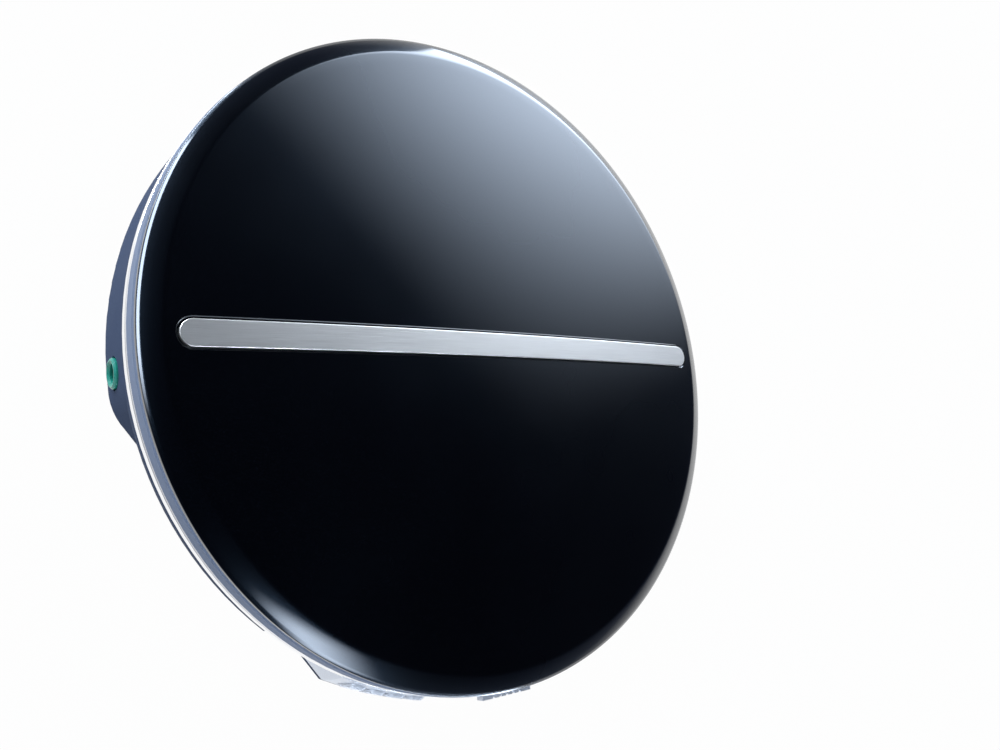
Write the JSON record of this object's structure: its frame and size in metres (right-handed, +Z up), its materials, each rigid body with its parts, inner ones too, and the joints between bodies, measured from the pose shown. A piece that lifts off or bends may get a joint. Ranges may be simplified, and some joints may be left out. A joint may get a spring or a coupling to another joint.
{
  "type": "portable cd player",
  "caption": "Flat round disc player with a domed hinged lid, a metal strip across it, a bright waist band, a front with keys and display, and a geared pickup drive inside.",
  "frame": {"origin": "on the spindle axis, at the plane that the feet stand on", "axes": "+Z up through the lid, -Y the front with the keys, +X to the right seen from the front; the strip lies along X"},
  "size_m": [0.1401, 0.1403, 0.0272],
  "materials": {
    "lid_lacquer": "black lacquer with very fine flake, glossy",
    "brushed_metal": "brushed lengthwise",
    "silver_paint": "satin silver paint on moulded plastic",
    "bright_trim": "bright plating on moulded plastic",
    "blue_grey": "satin blue-grey paint on moulded plastic",
    "front_silver": "satin silver paint on moulded plastic",
    "dark_plastic": "fine grain",
    "black_plastic": "moulded",
    "key_silver": "satin silver paint on moulded plastic",
    "rubber_black": "matt",
    "steel": "bright rolled",
    "nickel": "nickel plated",
    "board_green": "solder resist",
    "connector_cream": "moulded",
    "capacitor_sleeve": "shrink sleeve",
    "collar_green": "moulded",
    "acetal_white": "moulded",
    "brass_gear": "machined",
    "lens_glass": "coated",
    "window_clear": "tinted and clear",
    "lcd_grey": "liquid crystal panel"
  },
  "bodies": {
    "casing": {"lower_casing": "blue_grey", "front_fascia": "front_silver", "bright_band": "bright_trim", "casing_ring": "silver_paint", "disc_tray": "dark_plastic", "rubber_feet": "rubber_black", "casing_screws": "steel", "battery_contacts": "nickel", "battery_springs": "nickel", "main_board": "board_green", "board_chips": "black_plastic", "board_capacitors": "capacitor_sleeve", "board_connectors": "connector_cream", "headphone_socket": "black_plastic", "headphone_collar": "collar_green", "power_socket": "black_plastic", "key_board": "board_green", "key_switches": "steel", "display_window": "window_clear", "display_module": "lcd_grey", "lid_switch": "black_plastic", "drive_chassis": "steel", "chassis_dampers": "rubber_black", "damper_screws": "steel", "spindle_motor": "steel", "sled_motor": "steel", "guide_rod_front": "steel", "guide_rod_rear": "steel", "hinge_pin": "steel"},
    "lid": {"lid_cover": "lid_lacquer", "lid_strip": "brushed_metal", "lid_liner": "dark_plastic"},
    "battery_door": {"battery_door": "blue_grey"},
    "hold_switch": {"hold_switch": "dark_plastic"},
    "lid_catch": {"lid_catch": "silver_paint"},
    "turntable": {"turntable": "black_plastic", "turntable_pad": "rubber_black", "turntable_balls": "steel"},
    "sled": {"pickup_carriage": "dark_plastic", "sled_rack": "acetal_white", "lens_holder": "black_plastic", "objective_lens": "lens_glass"},
    "drive_wheel": {"drive_wheel": "acetal_white"},
    "motor_pinion": {"motor_pinion": "brass_gear"},
    "stop_key": {"stop_key": "key_silver"},
    "back_key": {"back_key": "key_silver"},
    "play_key": {"play_key": "key_silver"},
    "next_key": {"next_key": "key_silver"},
    "quieter_key": {"quieter_key": "key_silver"},
    "louder_key": {"louder_key": "key_silver"},
    "mode_key": {"mode_key": "key_silver"}
  },
  "joints": [
    {"name": "lid_hinge", "type": "hinge", "parent": "casing", "child": "lid", "pos_m": [0, 0.0676, 0.0198], "axis": [-1, 0, 0], "range_deg": [0, 75]},
    {"name": "battery_door_hinge", "type": "hinge", "parent": "casing", "child": "battery_door", "pos_m": [0, 0.0332, 0.0019], "axis": [-1, 0, 0], "range_deg": [0, 95]},
    {"name": "turntable_spin", "type": "hinge", "parent": "casing", "child": "turntable", "pos_m": [0, 0, 0.0112], "axis": [0, 0, 1], "continuous": true},
    {"name": "sled_travel", "type": "slide", "parent": "casing", "child": "sled", "axis": [1, 0, 0], "range_m": [0, 0.034]},
    {"name": "drive_wheel_spin", "type": "hinge", "parent": "casing", "child": "drive_wheel", "pos_m": [0.023, -0.022, 0.005], "axis": [0, 0, -1], "range_deg": [-1, 651]},
    {"name": "motor_pinion_spin", "type": "hinge", "parent": "casing", "child": "motor_pinion", "pos_m": [0.01429, -0.02703, 0.005], "axis": [0, 0, 1], "range_deg": [-1, 2599]},
    {"name": "lid_catch_slide", "type": "slide", "parent": "casing", "child": "lid_catch", "axis": [1, 0, 0], "range_m": [0, 0.003], "stiffness_N_per_m": 200, "springref_m": -0.001},
    {"name": "hold_slide", "type": "slide", "parent": "casing", "child": "hold_switch", "axis": [0, 0, 1], "range_m": [0, 0.003]},
    {"name": "stop_key_press", "type": "slide", "parent": "casing", "child": "stop_key", "axis": [0.4115, 0.9114, 0], "range_m": [0, 0.0005], "stiffness_N_per_m": 1500},
    {"name": "back_key_press", "type": "slide", "parent": "casing", "child": "back_key", "axis": [0.3535, 0.9354, 0], "range_m": [0, 0.0005], "stiffness_N_per_m": 1500},
    {"name": "play_key_press", "type": "slide", "parent": "casing", "child": "play_key", "axis": [0.294, 0.9558, 0], "range_m": [0, 0.0005], "stiffness_N_per_m": 1500},
    {"name": "next_key_press", "type": "slide", "parent": "casing", "child": "next_key", "axis": [0.2334, 0.9724, 0], "range_m": [0, 0.0005], "stiffness_N_per_m": 1500},
    {"name": "quieter_key_press", "type": "slide", "parent": "casing", "child": "quieter_key", "axis": [-0.2334, 0.9724, 0], "range_m": [0, 0.0005], "stiffness_N_per_m": 1500},
    {"name": "louder_key_press", "type": "slide", "parent": "casing", "child": "louder_key", "axis": [-0.294, 0.9558, 0], "range_m": [0, 0.0005], "stiffness_N_per_m": 1500},
    {"name": "mode_key_press", "type": "slide", "parent": "casing", "child": "mode_key", "axis": [-0.3535, 0.9354, 0], "range_m": [0, 0.0005], "stiffness_N_per_m": 1500}
  ],
  "couplings": [
    {"joint": "drive_wheel_spin", "follows": "sled_travel", "rad_per_m": 333.33},
    {"joint": "motor_pinion_spin", "follows": "sled_travel", "rad_per_m": 1333.3}
  ]
}
